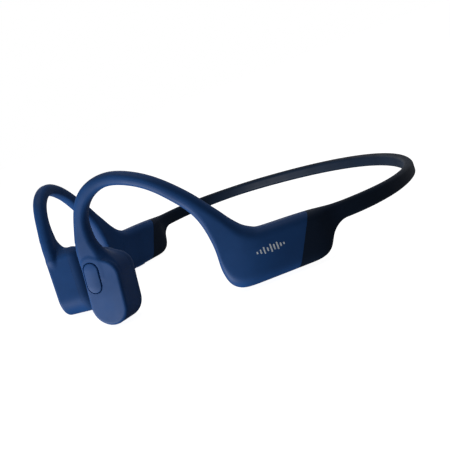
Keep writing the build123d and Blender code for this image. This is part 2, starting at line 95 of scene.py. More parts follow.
# The arm from outside, unrolled: u runs forwards along the plan and z is over the band plane.
# Each station is (top u, top z, bottom u, bottom z, thickness, corner radius). The first four columns
# began as the photo's outline seen through the fitted camera, then were rounded and changed.
STATIONS = [
    (BAND_END - 2.4, 2.38, BAND_END - 2.4, -2.52, 3.0, 1.2),
    (BAND_END, 2.42, BAND_END, -2.62, 3.0, 1.2),
    (98.4, 2.5, 98.5, -3.5, 3.2, 1.4),
    (100.4, 2.65, 100.7, -5.5, 4.0, 1.7),
    (101.9, 2.8, 102.1, -8.0, 5.1, 2.1),
    (103.0, 2.9, 103.8, -10.0, 6.4, 2.6),
    (104.1, 3.0, 106.6, -10.95, 7.4, 2.8),
    (105.2, 3.1, 110.0, -11.1, 7.9, 3.0),
    (106.3, 3.2, 113.65, -11.1, 8.2, 3.2),
    (109.3, 3.4, 116.4, -11.1, 8.3, 3.2),
    (113.6, 3.63, 119.4, -11.1, 8.3, 3.2),
    (119.6, 3.95, 123.0, -11.15, 8.2, 3.3),
    (121.8, 4.5, 127.4, -11.2, 8.0, 3.5),
    (123.4, 5.4, 130.6, -10.7, 7.6, 3.55),
    (124.8, 6.5, 132.8, -9.0, 7.0, 3.4),
    (126.0, 7.8, 133.8, -6.4, 6.4, 3.1),
    (127.2, 9.3, 134.1, -3.2, 5.9, 2.87),
    (128.4, 11.0, 133.9, 1.2, 5.5, 2.67),
    (129.8, 12.9, 134.2, 5.8, 5.2, 2.52),
    (131.6, 15.2, 135.3, 10.7, 4.9, 2.37),
    (134.0, 18.3, 137.4, 15.0, 4.7, 2.25),
    (137.2, 21.7, 140.3, 18.5, 4.5, 2.1),
    (141.5, 25.5, 144.3, 22.5, 4.4, 2.0),
    (147.2, 29.2, 149.3, 25.9, 4.4, 2.0),
    (153.6, 31.8, 154.7, 28.0, 4.3, 1.9),
    (159.3, 32.5, 159.0, 28.5, 4.3, 1.9),
    (164.5, 31.4, 162.9, 27.5, 4.3, 1.9),
    (168.6, 28.9, 165.9, 25.5, 4.3, 1.9),
    (171.2, 25.6, 167.9, 22.9, 4.3, 1.9),
    (172.9, 22.2, 168.9, 20.3, 4.3, 1.9),
    (174.3, 18.8, 169.1, 17.9, 4.3, 2.0),
    (175.4, 15.7, 169.0, 15.4, 4.4, 2.0),
    (176.2, 12.6, 168.4, 12.8, 4.4, 2.0),
]
BOOT_ROW, COLOUR_ROW, LID_ROW, HOOK_ROW, NECK_ROW = 1, 8, 13, 16, 31
LID_TOP, LID_BOTTOM = 3.41, 5.59  # ring places where the inner cover meets the case

# Transducer, in its own leaning plane: x rearwards, y up along the body, n outwards.
FACE_U, FACE_Z, LEAN = 171.0, 0.0, math.radians(8.8)
FACE_OUT, CASE_INNER, PAD_INNER = 2.3, -5.8, -10.6
FACE_HALF_WIDTH, FACE_BOTTOM = 6.15, -11.2
PAD_DROP, PAD_DROP_REACH = 0.85, 9.0  # the inner side reaches lower, over this height
PAD_COVE, PAD_COVE_RISE, PAD_MOUTH = 0.5, 1.1, 1.0  # a pad's hollow: narrower by its floor, open above
FACE_TOP_REAR, FACE_TOP_FRONT = 7.9, 12.3
FACE_CORNER, FACE_NOSE = 5.0, 3.4
FACE_EDGE, PAD_EDGE = 0.95, 4.2
NECK_HALF, NECK_ROUND = 2.2, 2.0

BUTTON_X, BUTTON_Y, BUTTON_LENGTH, BUTTON_WIDTH = -2.8, 4.0, 9.4, 4.9
BUTTON_GAP, BUTTON_PROUD = 0.15, 0.35
VOLUME_U = {"volume_down_button": 118.4, "volume_up_button": 124.2}
VOLUME_LENGTH, VOLUME_WIDTH, VOLUME_PROUD, VOLUME_TALL = 5.4, 3.2, 0.5, 1.9
BAR_LENGTH, BAR_WIDTH = 1.5, 0.36  # raised plus and minus
POD_BOTTOM = -11.15
PORT_U, PORT_LENGTH, PORT_WIDTH = 109.6, 5.4, 3.2
LED_U, LED_RADIUS = 114.4, 0.6
MIC_U, MIC_Z, MIC_HOLE = 118.0, -6.8, 0.45


# ---------------------------------------------------------------- plan curve and frames
def run_starts():
    """Arc length, place and heading where each run of the arm's middle line begins."""
    starts, u, x, y, heading = [], 0.0, 0.0, BACK_Y, 0.0
    for radius, size in RUNS:
        starts.append((u, x, y, heading))
        if radius:
            turned = heading + math.radians(size)
            x += radius * (math.sin(turned) - math.sin(heading))
            y += radius * (math.cos(turned) - math.cos(heading))
            u += radius * (turned - heading)
            heading = turned
        else:
            x += size * math.cos(heading)
            y -= size * math.sin(heading)
            u += size
    return starts


STARTS = run_starts()


def plan(u):
    """Points (x, y) and outward directions on the arm's middle line; negative u is the right arm."""
    u = np.asarray(u, float)
    length, side = np.abs(u), np.where(u < 0, -1.0, 1.0)
    x, y, heading = np.zeros_like(length), np.zeros_like(length), np.zeros_like(length)
    for (start, x0, y0, heading0), (radius, _) in zip(STARTS, RUNS):
        along = length - start
        if radius:
            turned = heading0 + along / radius
            run_x = x0 + radius * (np.sin(turned) - math.sin(heading0))
            run_y = y0 + radius * (np.cos(turned) - math.cos(heading0))
        else:
            turned = np.full_like(along, heading0)
            run_x = x0 + along * math.cos(heading0)
            run_y = y0 - along * math.sin(heading0)
        here = along >= 0
        x, y, heading = np.where(here, run_x, x), np.where(here, run_y, y), np.where(here, turned, heading)
    return x * side, y, np.sin(heading) * side, np.cos(heading)


def on_arm(u, z, out=0.0):
    """Points at arc length u and height z over the band plane, moved outwards by out."""
    x, y, out_x, out_y = plan(u)
    return np.stack([x + out_x * out, y + out_y * out, BAND_Z + z + 0 * x], -1)


def frame_at(u, z, out, lean=0.0):
    """4x4 matrix: x rearwards and leaning, y up, z outwards, at a place on the arm."""
    _, _, out_x, out_y = (float(value) for value in plan(u))
    rear = Vector((-out_y, out_x, 0.0))
    up, outward = Vector((0, 0, 1)), Vector((out_x, out_y, 0))
    x_axis = rear * math.cos(lean) - up * math.sin(lean)
    y_axis = outward.cross(x_axis)
    place = Matrix((x_axis, y_axis, outward)).transposed().to_4x4()
    place.translation = Vector([float(value) for value in on_arm(u, z, out)])
    return place


def floor_frame(u, z):
    """4x4 matrix under a pod: x along the arm, z straight down."""
    _, _, out_x, out_y = (float(value) for value in plan(u))
    x_axis, z_axis = Vector((-out_y, out_x, 0.0)), Vector((0, 0, -1))
    place = Matrix((x_axis, z_axis.cross(x_axis), z_axis)).transposed().to_4x4()
    place.translation = Vector([float(value) for value in on_arm(u, z)])
    return place


FACE = frame_at(FACE_U, FACE_Z, 0.0, LEAN)


# ---------------------------------------------------------------- mesh helpers
def make_piece(name, points, faces, body=None, normals=None):
    """Mesh object from points in millimetres, smooth, with sharp edges where it turns hard."""
    mesh = bpy.data.meshes.new(name)
    mesh.from_pydata((np.asarray(points) * MM).tolist(), [], [list(face) for face in faces])
    mesh.validate()
    mesh.polygons.foreach_set("use_smooth", np.ones(len(mesh.polygons), bool))
    if normals is None:
        mesh.set_sharp_from_angle(angle=math.radians(48))
    else:
        mesh.normals_split_custom_set(normals)
    mesh.update()
    piece = bpy.data.objects.new(name, mesh)
    bpy.context.scene.collection.objects.link(piece)
    if body:
        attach(piece, body)
    return piece


def smooth_step(value):
    value = np.clip(value, 0, 1)
    return value * value * (3 - 2 * value)


def mirrored(points, faces):
    """The other hand of a mesh."""
    return np.asarray(points) * (-1, 1, 1), [tuple(reversed(face)) for face in faces]


def moved(points, matrix):
    """Points through a 4x4 matrix."""
    array = np.array(matrix)
    return np.asarray(points) @ array[:3, :3].T + array[:3, 3]


def apply_modifier(piece, kind, **values):
    """Add one modifier, set it and bake it into the mesh."""
    modifier = piece.modifiers.new(kind.lower(), kind)
    for key, value in values.items():
        setattr(modifier, key, value)
    evaluated = piece.evaluated_get(bpy.context.evaluated_depsgraph_get())
    mesh = bpy.data.meshes.new_from_object(evaluated)
    piece.modifiers.clear()
    old, piece.data = piece.data, mesh
    mesh.name = piece.name
    bpy.data.meshes.remove(old)


def cut(piece, points, faces):
    """Take a closed shape out of a piece."""
    tool = make_piece("cutter", points, faces)
    apply_modifier(piece, "BOOLEAN", object=tool, operation="DIFFERENCE", solver="EXACT")
    bpy.data.objects.remove(tool)
    piece.data.set_sharp_from_angle(angle=math.radians(40))


def ring_faces(rows, columns, first=0):
    """Quads between neighbouring closed rings of a stack."""
    faces = []
    for row in range(rows - 1):
        low, high = first + row * columns, first + (row + 1) * columns
        for column in range(columns):
            after = (column + 1) % columns
            faces.append((low + column, low + after, high + after, high + column))
    return faces


def pill_outline(length, width, steps=20):
    """Outline of a pill along y."""
    half, radius = (length - width) / 2, width / 2
    turns = np.linspace(0, math.pi, steps)
    top = np.stack([radius * np.cos(turns), half + radius * np.sin(turns)], -1)
    return np.concatenate([top, -top])


def pill_stack(length, width, levels):
    """Closed solid of pill rings; each level is (height, inset)."""
    rings = []
    for height, inset in levels:
        outline = pill_outline(length - 2 * inset, width - 2 * inset)
        rings.append(np.column_stack([outline, np.full(len(outline), height)]))
    count = len(rings[0])
    faces = ring_faces(len(rings), count)
    faces.append(tuple(reversed(range(count))))
    faces.append(tuple(range((len(rings) - 1) * count, len(rings) * count)))
    return np.concatenate(rings), faces


def crown_levels(bottom, top, edge, crown, half_width):
    """Levels of a button cap with a rounded edge and a softly crowned top."""
    levels = [(bottom, 0.0)]
    for angle in np.linspace(0, math.pi / 2, 6):
        levels.append((top - crown - edge + edge * math.sin(angle), edge * (1 - math.cos(angle))))
    for share in (0.25, 0.5, 0.75, 0.95):
        inset = edge + (half_width - edge) * share
        levels.append((top - crown * (1 - share) ** 2, inset))
    return levels


# ---------------------------------------------------------------- the arm as one grid
def spline(table, places):
    """Natural cubic spline through the rows of a table, read at row numbers."""
    table = np.asarray(table, float)
    count = len(table)
    system, right = np.eye(count), np.zeros_like(table)
    for row in range(1, count - 1):
        system[row, row - 1 : row + 2] = (1, 4, 1)
        right[row] = 6 * (table[row + 1] - 2 * table[row] + table[row - 1])
    bend = np.linalg.solve(system, right)
    low = np.clip(np.floor(places).astype(int), 0, count - 2)
    after = (places - low)[:, None]
    before = 1 - after
    value = before * table[low] + after * table[low + 1]
    return value + ((before**3 - before) * bend[low] + (after**3 - after) * bend[low + 1]) / 6


def ring(places, width, height, corner):
    """Section points (across, up); places 0 to 8 run over the four sides and corners."""
    width, height, corner = (np.asarray(value, float)[:, None] for value in (width, height, corner))
    corner = np.minimum(corner, np.minimum(width, height) / 2.05)
    centre_x, centre_y = width / 2 - corner, height / 2 - corner
    quarter, share = (np.floor(places / 2).astype(int) % 4)[None, :], (places % 1)[None, :]
    on_corner = ((places % 2) >= 1)[None, :]
    sign_x = np.array([1, -1, -1, 1])[quarter]
    sign_y = np.array([1, 1, -1, -1])[quarter]
    turn = np.radians(90 * (quarter + share))
    soft = 2 / 2.2  # a corner a little fuller than a circle's
    arc_x = np.sign(np.cos(turn)) * np.abs(np.cos(turn)) ** soft
    arc_y = np.sign(np.sin(turn)) * np.abs(np.sin(turn)) ** soft
    slide = 2 * share - 1
    side_x = np.choose(quarter, [width / 2, -slide * centre_x, -width / 2, slide * centre_x])
    side_y = np.choose(quarter, [slide * centre_y, height / 2, -slide * centre_y, -height / 2])
    across = np.where(on_corner, sign_x * centre_x + corner * arc_x, side_x)
    up = np.where(on_corner, sign_y * centre_y + corner * arc_y, side_y)
    return across, up


def ring_places():
    """Places round a section: close at the corners, with pairs at the inner cover's seam."""
    places = []
    for quarter in range(4):
        side_steps = 10 if quarter % 2 == 0 else 4
        places += [2 * quarter + step / side_steps for step in range(side_steps)]
        places += [2 * quarter + 1 + step / 9 for step in range(9)]
    seam = [LID_TOP - 0.03, LID_TOP, LID_TOP + 0.03, LID_BOTTOM - 0.03, LID_BOTTOM, LID_BOTTOM + 0.03]
    kept = [place for place in places if min(abs(place - mark) for mark in seam) > 0.03]
    return np.array(sorted(kept + seam))


def row_places():
    """Row numbers along the arm, with close rows at each visible seam."""
    rows = list(np.linspace(BOOT_ROW, NECK_ROW, (NECK_ROW - BOOT_ROW) * 6 + 1))
    for mark in (COLOUR_ROW, LID_ROW):
        rows = [row for row in rows if abs(row - mark) > 0.12] + [mark - 0.05, mark, mark + 0.05]
    return np.array(sorted(rows))


ROWS, COLUMNS = row_places(), ring_places()


def arm_points(rows, columns):
    """Grid of points on the arm's skin."""
    values = spline(STATIONS, rows)
    top = on_arm(values[:, 0], values[:, 1])
    bottom = on_arm(values[:, 2], values[:, 3])
    _, _, out_x, out_y = plan((values[:, 0] + values[:, 2]) / 2)
    side = np.stack([out_x, out_y, 0 * out_x], -1)
    upward = top - bottom
    height = np.linalg.norm(upward, axis=1)
    upward -= side * np.sum(upward * side, 1, keepdims=True)
    upward /= np.linalg.norm(upward, axis=1, keepdims=True)
    across, up = ring(columns, values[:, 4], height, values[:, 5])
    up += POD_TILT * smooth_step((height - 8.0) / 5)[:, None] * (across / values[:, 4][:, None]) * (up < 0)
    middle = (top + bottom) / 2
    return middle[:, None] + side[:, None] * across[..., None] + upward[:, None] * up[..., None]


def arm_normals(rows, columns):
    """Outward normals of the arm's skin, from small steps along it."""
    step = 0.02
    along = arm_points(rows + step, columns) - arm_points(rows - step, columns)
    around = np.roll(arm_points(rows, columns), -1, 1) - np.roll(arm_points(rows, columns), 1, 1)
    normal = np.cross(around, along)
    return normal / np.linalg.norm(normal, axis=-1, keepdims=True)


def shell(points, normals, cells, wall, closed):
    """Shell under chosen grid cells: outer skin, inner skin and rims, with a normal for each corner."""
    rows, columns = points.shape[:2]
    outer = points.reshape(-1, 3)
    flat = normals.reshape(-1, 3)
    inner = outer - flat * wall
    count = rows * columns
    faces, corner_normals, edges = [], [], {}
    for row, column in np.argwhere(cells):
        after = (column + 1) % columns if closed else column + 1
        quad = [row * columns + column, row * columns + after]
        quad += [(row + 1) * columns + after, (row + 1) * columns + column]
        faces.append(tuple(quad))
        corner_normals += [flat[index] for index in quad]
        back = quad[::-1]
        faces.append(tuple(index + count for index in back))
        corner_normals += [-flat[index] for index in back]
        for start, end in zip(quad, quad[1:] + quad[:1]):
            if (end, start) in edges:
                del edges[(end, start)]
            else:
                edges[(start, end)] = True
    everything = np.concatenate([outer, inner])
    for start, end in edges:
        rim = (end, start, start + count, end + count)
        faces.append(rim)
        side = np.cross(everything[rim[1]] - everything[rim[0]], everything[rim[3]] - everything[rim[0]])
        side /= max(np.linalg.norm(side), 1e-9)
        corner_normals += [side] * 4
    used = sorted({index for face in faces for index in face})
    renumber = {old: new for new, old in enumerate(used)}
    faces = [tuple(renumber[index] for index in face) for face in faces]
    return everything[used], faces, corner_normals


def both_hands(shape, hand):
    """Points, faces and corner normals of a shell for the left (1) or the right (-1)."""
    points, faces, normals = shape
    if hand == 1:
        return points, faces, normals
    points, turned = mirrored(points, faces)
    flipped, start = [], 0
    for face in faces:
        block = normals[start : start + len(face)]
        flipped += [np.asarray(normal) * (-1, 1, 1) for normal in reversed(block)]
        start += len(face)
    return points, turned, flipped


def arm_shells():
    """Shells of the boot, pod case, inner cover and ear hook, all cut from one continuous grid."""
    points, normals = arm_points(ROWS, COLUMNS), arm_normals(ROWS, COLUMNS)
    in_lid_rows = (ROWS >= COLOUR_ROW - 1e-6) & (ROWS <= LID_ROW + 1e-6)
    in_lid_columns = (COLUMNS >= LID_TOP - 1e-6) & (COLUMNS <= LID_BOTTOM + 1e-6)
    on_seam = (abs(ROWS - COLOUR_ROW) < 1e-6)[:, None] | (
        in_lid_rows[:, None] & ((abs(COLUMNS - LID_TOP) < 1e-6) | (abs(COLUMNS - LID_BOTTOM) < 1e-6))[None]
    )
    on_seam |= (abs(ROWS - LID_ROW) < 1e-6)[:, None] & in_lid_columns[None]
    points = points - normals * (on_seam * SEAM_DEPTH)[..., None]
    middle_row = (ROWS[:-1] + ROWS[1:]) / 2
    middle_column = (COLUMNS + np.append(COLUMNS[1:], COLUMNS[0] + 8)) / 2
    lid = ((middle_row > COLOUR_ROW) & (middle_row < LID_ROW))[:, None]
    lid = lid & ((middle_column > LID_TOP) & (middle_column < LID_BOTTOM))[None]
    everywhere = np.ones_like(lid)
    boot = (middle_row < COLOUR_ROW)[:, None] & everywhere
    case = ((middle_row > COLOUR_ROW) & (middle_row < HOOK_ROW))[:, None] & ~lid
    hook = (middle_row > HOOK_ROW)[:, None] & everywhere
    walls = np.interp(ROWS, [1, 4, 13, HOOK_ROW], [SLEEVE_WALL, POD_WALL, POD_WALL, SLEEVE_WALL + 0.2])
    parts = {"boot": boot, "case": case, "lid": lid, "hook": hook}
    wall = np.repeat(walls, len(COLUMNS))[:, None]
    return {name: shell(points, normals, cells, wall, closed=True) for name, cells in parts.items()}


# ---------------------------------------------------------------- neckband
def band_rings(outline, lift):
    """Rings of a section swept along the whole band, and the faces between them."""
    lengths = np.linspace(-BAND_END, BAND_END, 241)
    x, y, out_x, out_y = plan(lengths)
    tall = 1 + BAND_GROWTH * smooth_step((np.abs(lengths) - BAND_GROWS_FROM) / (BAND_END - BAND_GROWS_FROM))
    rings = np.zeros((len(lengths), len(outline), 3))
    rings[..., 0] = x[:, None] + out_x[:, None] * outline[None, :, 0]
    rings[..., 1] = y[:, None] + out_y[:, None] * outline[None, :, 0]
    rings[..., 2] = BAND_Z + lift - BAND_DROP * (tall[:, None] - 1) + outline[None, :, 1] * tall[:, None]
    return rings


def make_band(name, nodes, outline, lift, wall=0.0):
    """One continuous piece from pod to pod, swept along the band's path."""
    rings = band_rings(outline, lift)
    count = rings.shape[1]
    points, faces = rings.reshape(-1, 3), ring_faces(len(rings), count)
    if wall:
        shrink = 1 - 2 * wall / np.ptp(outline, axis=0)
        inner = band_rings(outline * shrink, lift)
        total = len(points)
        inner_faces = [tuple(reversed(face)) for face in ring_faces(len(rings), count, total)]
        points, faces = np.concatenate([points, inner.reshape(-1, 3)]), faces + inner_faces
        last = total - count
        for column in range(count):
            after = (column + 1) % count
            faces.append((after, column, column + total, after + total))
            faces.append((last + column, last + after, last + after + total, last + column + total))
    else:
        faces += [tuple(reversed(range(count))), tuple(range(len(points) - count, len(points)))]
    piece = make_piece(name, points, faces)
    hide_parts(*nodes)
    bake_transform(piece)
    return piece


# ---------------------------------------------------------------- transducer as a blended solid
def fillet_outline(corners, radii, steps=14):
    """Closed outline with a round of its own radius at each corner."""
    points, count = [], len(corners)
    for index, radius in enumerate(radii):
        before, here, after = (np.array(corners[(index + k) % count], float) for k in (-1, 0, 1))
        to_before, to_after = before - here, after - here
        to_before /= np.linalg.norm(to_before)
        to_after /= np.linalg.norm(to_after)
        half = math.acos(np.clip(to_before @ to_after, -1, 1)) / 2
        bisector = (to_before + to_after) / np.linalg.norm(to_before + to_after)
        centre = here + bisector * radius / math.sin(half)
        start, end = here + to_before * radius / math.tan(half), here + to_after * radius / math.tan(half)
        angle = math.atan2(*(start - centre)[::-1])
        turn = math.atan2(*(end - centre)[::-1]) - angle
        turn = (turn + math.pi) % (2 * math.pi) - math.pi
        for here in angle + turn * np.linspace(0, 1, steps):
            points.append(centre + radius * np.array([math.cos(here), math.sin(here)]))
    return np.array(points)


def body_outline(inset=0.0):
    """Silhouette of the transducer: round below, sloping shoulder above."""
    half, bottom = FACE_HALF_WIDTH - inset, FACE_BOTTOM + inset
    rear, front = FACE_TOP_REAR - inset, FACE_TOP_FRONT - inset
    corners = [(-half, bottom), (half, bottom), (half, rear), (-half, front)]
    return fillet_outline(corners, [half - 0.05, half - 0.05, FACE_CORNER - inset, FACE_NOSE - inset])


def neck_outline():
    """Silhouette of the hook's lower end, carried on into the transducer."""
    values = spline(STATIONS, np.linspace(NECK_ROW - 1.5, len(STATIONS) - 1, 12))
    front, rear = values[:, 0:2], values[:, 2:4]
    front = np.concatenate([front, [[176.6, 9.0], [175.8, 5.0], [174.2, 2.0]]])
    rear = np.concatenate([rear, [[167.9, 10.0], [167.6, 6.0], [168.4, 2.0]]])
    line = np.concatenate([front, rear[::-1]])
    rearward, up = FACE_U - line[:, 0], line[:, 1] - FACE_Z
    lean_cos, lean_sin = math.cos(LEAN), math.sin(LEAN)
    return np.stack([rearward * lean_cos - up * lean_sin, rearward * lean_sin + up * lean_cos], -1)


def outline_distance(points, outline):
    """Signed distance from points to a closed outline, negative inside."""
    start, end = outline, np.roll(outline, -1, 0)
    edge = end - start
    best, inside = np.full(len(points), 1e9), np.zeros(len(points), bool)
    for corner, side in zip(start, edge):
        offset = points - corner
        share = np.clip(offset @ side / max(side @ side, 1e-12), 0, 1)
        best = np.minimum(best, np.sum((offset - share[:, None] * side) ** 2, 1))
        if side[1]:
            crosses = (points[:, 1] >= corner[1]) != (points[:, 1] >= corner[1] + side[1])
            reach = offset[:, 1] / side[1] * side[0] - offset[:, 0]
            inside ^= crosses & (reach > 0)
    return np.sqrt(best) * np.where(inside, -1, 1)


def slab(flat, depth, low, high, low_round, high_round):
    """Distance to an extruded outline whose two edges are rounded."""
    middle, half = (low + high) / 2, (high - low) / 2
    rounding = np.where(depth > middle, high_round, low_round)
    across, along = flat + rounding, np.abs(depth - middle) - half + rounding
    outside = np.hypot(np.maximum(across, 0), np.maximum(along, 0))
    return outside + np.minimum(np.maximum(across, along), 0) - rounding


def transducer_distance(points, flats):
    """Blend of the transducer's body and the hook's end: crisp on the outer face, swept behind."""
    depth = points[:, 2]
    body = slab(flats[0], depth, PAD_INNER, FACE_OUT, PAD_EDGE, FACE_EDGE)
    neck = slab(flats[1], depth, -NECK_HALF, NECK_HALF, NECK_ROUND, NECK_ROUND)
    reach = smooth_step((points[:, 0] + 5.5) / 4.0) * smooth_step((2.2 - depth) / 2.4)
    blend = 0.5 + 4.2 * reach
    overlap = np.maximum(blend - np.abs(body - neck), 0) / blend
    return np.minimum(body, neck) - overlap * overlap * blend / 4


def contour(distance, low, high, step):
    """Quads over the zero level of a distance sampled on a grid."""
    sizes = [int(math.ceil((b - a) / step)) + 1 for a, b in zip(low, high)]
    axes = [a + step * np.arange(size) for a, size in zip(low, sizes)]
    field = distance(*axes)
    inside = field < 0
    corners = sum(
        inside[i : sizes[0] - 1 + i, j : sizes[1] - 1 + j, k : sizes[2] - 1 + k].astype(int)
        for i in (0, 1)
        for j in (0, 1)
        for k in (0, 1)
    )
    active = (corners > 0) & (corners < 8)
    number = np.full(active.shape, -1)
    number[active] = np.arange(active.sum())
    cells = np.argwhere(active)
    points = np.array(low) + (cells + 0.5) * step
    faces = []
    for axis in range(3):
        first, second = [other for other in range(3) if other != axis]
        before = np.take(inside, range(sizes[axis] - 1), axis)
        after = np.take(inside, range(1, sizes[axis]), axis)
        for place in np.argwhere(before != after):
            if not (0 < place[first] < active.shape[first] and 0 < place[second] < active.shape[second]):
                continue
            quad = []
            for step_first, step_second in ((1, 1), (0, 1), (0, 0), (1, 0)):
                cell = place.copy()
                cell[first] -= step_first
                cell[second] -= step_second
                quad.append(number[tuple(cell)])
            if min(quad) < 0:
                continue
            forward = before[tuple(place)] ^ (axis == 1)
            faces.append(tuple(quad) if forward else tuple(reversed(quad)))
    return points, faces


def neighbours_mean(points, faces):
    """Mean of each vertex's neighbours over the quads' edges."""
    quads = np.array(faces)
    total, count = np.zeros_like(points), np.zeros(len(points))
    for shift in (1, 3):
        other = np.roll(quads, shift, 1)
        np.add.at(total, quads.ravel(), points[other.ravel()])
        np.add.at(count, quads.ravel(), 1)
    return total / np.maximum(count, 1)[:, None]


def transducer_skin():
    """Dense even mesh of the blended transducer, in the face plane's own coordinates."""
    body, neck = body_outline(), neck_outline()

    def flats_of(points):
        return outline_distance(points[:, :2], body), outline_distance(points[:, :2], neck)

    def on_grid(x_axis, y_axis, n_axis):
        grid = np.stack(np.meshgrid(x_axis, y_axis, indexing="ij"), -1).reshape(-1, 2)
        flats = [np.repeat(flat, len(n_axis)) for flat in flats_of(grid)]
        points = np.column_stack([np.repeat(grid, len(n_axis), 0), np.tile(n_axis, len(grid))])
        return transducer_distance(points, flats).reshape(len(x_axis), len(y_axis), len(n_axis))

    def value(points):
        return transducer_distance(points, flats_of(points))

    def settle(points):
        """One Newton step onto the surface."""
        here, small = value(points), 0.02
        slope = np.stack([(value(points + small * np.eye(3)[axis]) - here) / small for axis in range(3)], -1)
        steep = np.maximum(np.sum(slope**2, 1), 0.25)
        return points - slope * (here / steep)[:, None]

    step = 0.32
    points, faces = contour(on_grid, (-7.6, -12.6, -11.6), (7.6, 17.6, 3.3), step)
    for _ in range(3):
        points = settle(points)
        points = points + 0.5 * (neighbours_mean(points, faces) - points)
    for _ in range(2):
        points = settle(points)
    inward = np.clip((points[:, 2] - FACE_OUT) / (PAD_INNER - FACE_OUT), 0, 1)
    points[:, 1] -= PAD_DROP * (inward * smooth_step(-points[:, 1] / PAD_DROP_REACH))
    return points, faces


def trim(points, faces, planes):
    """Closed part of a mesh behind each plane (point, normal), as points and faces."""
    mesh = bmesh.new()
    vertices = [mesh.verts.new(point) for point in points]
    for face in faces:
        mesh.faces.new([vertices[index] for index in face])
    for place, normal in planes:
        everything = mesh.verts[:] + mesh.edges[:] + mesh.faces[:]
        bmesh.ops.bisect_plane(
            mesh, geom=everything, dist=1e-4, plane_co=place, plane_no=normal, clear_outer=True
        )
        bmesh.ops.remove_doubles(mesh, verts=mesh.verts[:], dist=0.01)
        bmesh.ops.holes_fill(mesh, edges=[edge for edge in mesh.edges if edge.is_boundary], sides=0)
    mesh.verts.index_update()
    kept = np.array([vertex.co[:] for vertex in mesh.verts])
    faces = [tuple(vertex.index for vertex in face.verts) for face in mesh.faces]
    mesh.free()
    return kept, faces


def cavity(levels):
    """Closed solid through (height, inset) levels of the transducer's outline, lowest first."""
    outlines = [(z, body_outline(inset)) for z, inset in levels]
    rings = [np.column_stack([flat, np.full(len(flat), z)]) for z, flat in outlines]
    count, last = len(rings[0]), len(rings) - 1
    faces = ring_faces(len(rings), count)
    faces += [tuple(reversed(range(count))), tuple(range(last * count, (last + 1) * count))]
    return np.concatenate(rings), faces


def hollow(shape, inside):
    """A closed shape less a cavity, as points and faces."""
    piece = make_piece("hollow", *shape)
    cut(piece, *inside)
    points = np.array([vertex.co[:] for vertex in piece.data.vertices]) / MM
    faces = [tuple(face.vertices) for face in piece.data.polygons]
    bpy.data.objects.remove(piece)
    return points, faces


# ---------------------------------------------------------------- materials
class Look:
    """A procedural material, built node by node."""

    def __init__(self, name, colour, roughness, **sockets):
        self.material = bpy.data.materials.new(name)
        self.material.use_nodes = True
        self.nodes = self.material.node_tree.nodes
        self.links = self.material.node_tree.links
        self.shader = self.nodes["Principled BSDF"]
        self.colour = colour
        self.shader.inputs["Base Color"].default_value = (*colour, 1)
        self.shader.inputs["Roughness"].default_value = roughness
        for socket, value in sockets.items():
            self.shader.inputs[socket.replace("_", " ")].default_value = value
        self.place = self.nodes.new("ShaderNodeTexCoord").outputs["Object"]

    def texture(self, kind, scale, **values):
        """A texture in cycles per metre."""
        node = self.nodes.new("ShaderNodeTex" + kind)
        self.links.new(self.place, node.inputs["Vector"])
        node.inputs["Scale"].default_value = scale
        for key, value in values.items():
            if key in node.inputs:
                node.inputs[key].default_value = value
            else:
                setattr(node, key, value)
        return node.outputs[0]

    def ramp(self, source, low, high, start=0.35, end=0.65):
        """Colours or values over a texture."""
        node = self.nodes.new("ShaderNodeValToRGB")
        self.links.new(source, node.inputs["Fac"])
        for element, place, value in zip(node.color_ramp.elements, (start, end), (low, high)):
            element.position = place
            element.color = (*value, 1) if isinstance(value, tuple) else (value, value, value, 1)
        return node.outputs["Color"]

    def vary_colour(self, scale, spread, start=0.35, end=0.65, **values):
        """Soft drift of the base colour about its own value."""
        source = self.texture("Noise", scale, Detail=3.0, **values)
        low = tuple(channel * (1 - spread) for channel in self.colour)
        high = tuple(min(channel * (1 + spread), 1) for channel in self.colour)
        self.links.new(self.ramp(source, low, high, start, end), self.shader.inputs["Base Color"])

    def vary_roughness(self, scale, low, high):
        source = self.texture("Noise", scale, Detail=4.0)
        self.links.new(self.ramp(source, low, high), self.shader.inputs["Roughness"])

    def bump(self, source, depth, strength=1.0):
        """Relief of a texture, in millimetres."""
        node = self.nodes.new("ShaderNodeBump")
        node.inputs["Distance"].default_value = depth * MM
        node.inputs["Strength"].default_value = strength
        previous = self.shader.inputs["Normal"].links
        if previous:
            self.links.new(previous[0].from_socket, node.inputs["Normal"])
        self.links.new(source, node.inputs["Height"])
        self.links.new(node.outputs["Normal"], self.shader.inputs["Normal"])


def silicone(name, colour, roughness, grain):
    """Soft matte rubber: fine moulded grain, faint drift of tone, handled patches a little smoother."""
    look = Look(name, colour, roughness, Specular_IOR_Level=0.14)
    look.vary_colour(90, 0.10)
    look.vary_roughness(140, roughness - 0.05, roughness + 0.06)
    look.bump(look.texture("Noise", 6500, Detail=2.0), grain, 0.5)
    look.bump(look.texture("Noise", 260, Detail=2.0), 0.02, 0.25)
    return look.material


def moulded(name, colour, roughness=0.45, specular=0.4, spark=3200):
    """Moulded plastic with a spark-eroded grain."""
    look = Look(name, colour, roughness, Specular_IOR_Level=specular)
    look.vary_colour(250, 0.08)
    look.vary_roughness(600, roughness - 0.06, roughness + 0.08)
    look.bump(look.texture("Voronoi", spark), 0.008, 0.5)
    return look.material


def metal(name, colour, roughness, stretch, depth=0.006):
    """Bare metal with fine drawn or turned marks."""
    look = Look(name, colour, roughness, Metallic=1.0)
    marks = look.texture("Wave", stretch, Distortion=3.0, Detail=3.0, bands_direction="Z")
    look.vary_roughness(900, roughness - 0.07, roughness + 0.12)
    look.vary_colour(700, 0.10)
    look.bump(marks, depth, 0.4)
    return look.material


